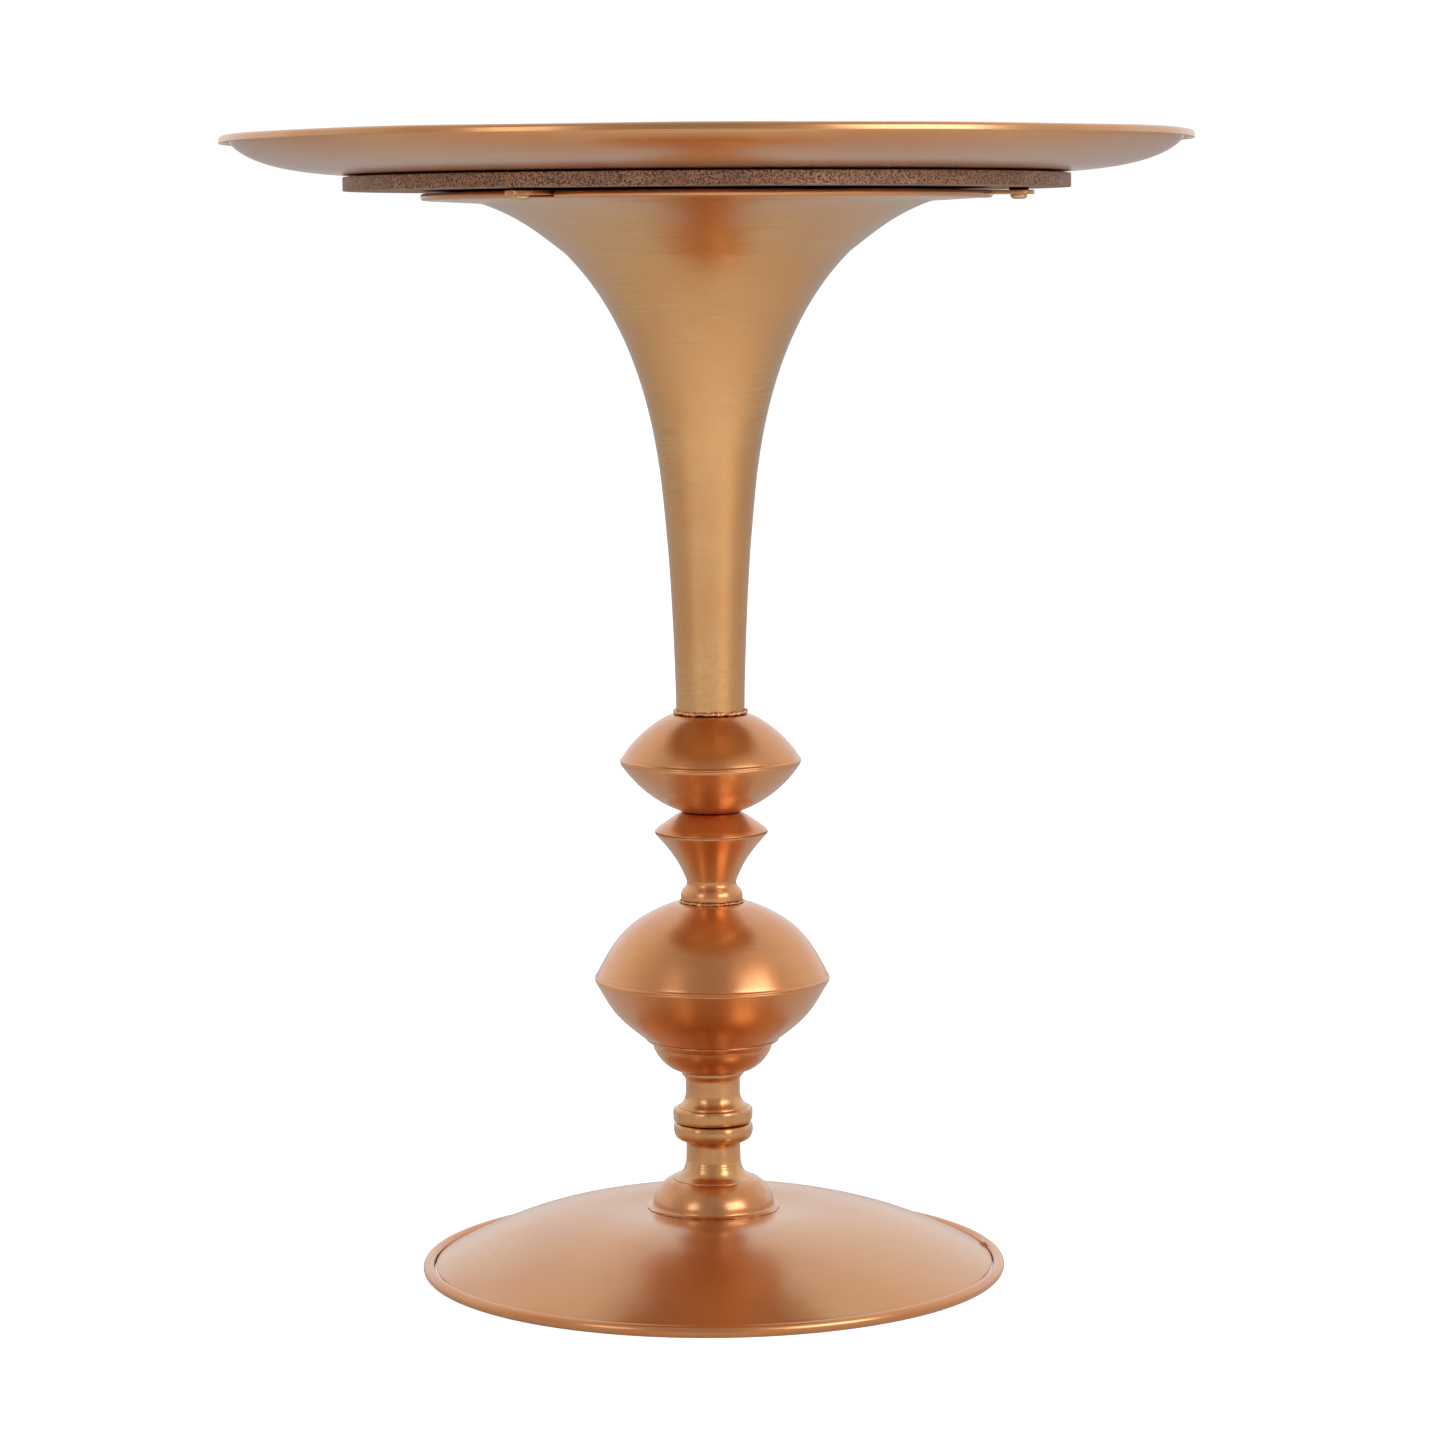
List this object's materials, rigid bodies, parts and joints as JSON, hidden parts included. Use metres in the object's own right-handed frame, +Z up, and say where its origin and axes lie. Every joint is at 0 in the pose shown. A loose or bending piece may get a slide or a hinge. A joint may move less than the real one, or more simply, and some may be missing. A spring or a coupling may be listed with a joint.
{
  "type": "pedestal tray table",
  "caption": "Round pedestal side table: a shallow lift-off tray on a board, a trumpet column with two bulbs and a spool, and a domed base with a rim ring.",
  "frame": {"origin": "on the floor at the centre of the base", "axes": "+Z up along the column, +Y away from the viewer, +X to the viewer's right; one fixing tab lies close to +X"},
  "size_m": [0.5598, 0.5598, 0.6656],
  "materials": {
    "spun_brass": "copper-toned brass, spun, satin under clear lacquer",
    "cast_brass": "copper-toned brass, cast and turned, satin lacquer",
    "board": "fibreboard in dark copper-brown lacquer with a stippled edge",
    "felt": "black felt",
    "screw": "yellow-plated steel",
    "spacer": "black rubber",
    "zinc_steel": "zinc-plated steel"
  },
  "bodies": {
    "stand": {"base_dome": "spun_brass", "base_nut": "zinc_steel", "base_rim_ring": "spun_brass", "base_washer": "zinc_steel", "bulb_cup": "spun_brass", "fixing_tab_1": "spun_brass", "fixing_tab_2": "spun_brass", "fixing_tab_3": "spun_brass", "foot": "cast_brass", "lower_bulb_bottom": "spun_brass", "lower_bulb_top": "spun_brass", "lower_collar": "cast_brass", "mounting_board": "board", "rim_weld": "cast_brass", "spool_body": "spun_brass", "spool_braze_bead": "cast_brass", "spool_cap": "spun_brass", "stiffener_plate": "zinc_steel", "tab_screw_1": "screw", "tab_screw_2": "screw", "tab_screw_3": "screw", "tab_spacer_1": "spacer", "tab_spacer_2": "spacer", "tab_spacer_3": "spacer", "tie_rod": "zinc_steel", "top_nut": "zinc_steel", "top_washer": "zinc_steel", "tray_pad": "felt", "trumpet": "spun_brass", "trumpet_braze_bead": "cast_brass", "upper_bulb_bottom": "spun_brass", "upper_bulb_top": "spun_brass", "upper_collar": "cast_brass"},
    "tray": {"tray": "spun_brass"}
  },
  "joints": [
    {"name": "tray_lift", "type": "slide", "parent": "stand", "child": "tray", "axis": [0, 0, 1], "range_m": [0, 0.15]}
  ]
}
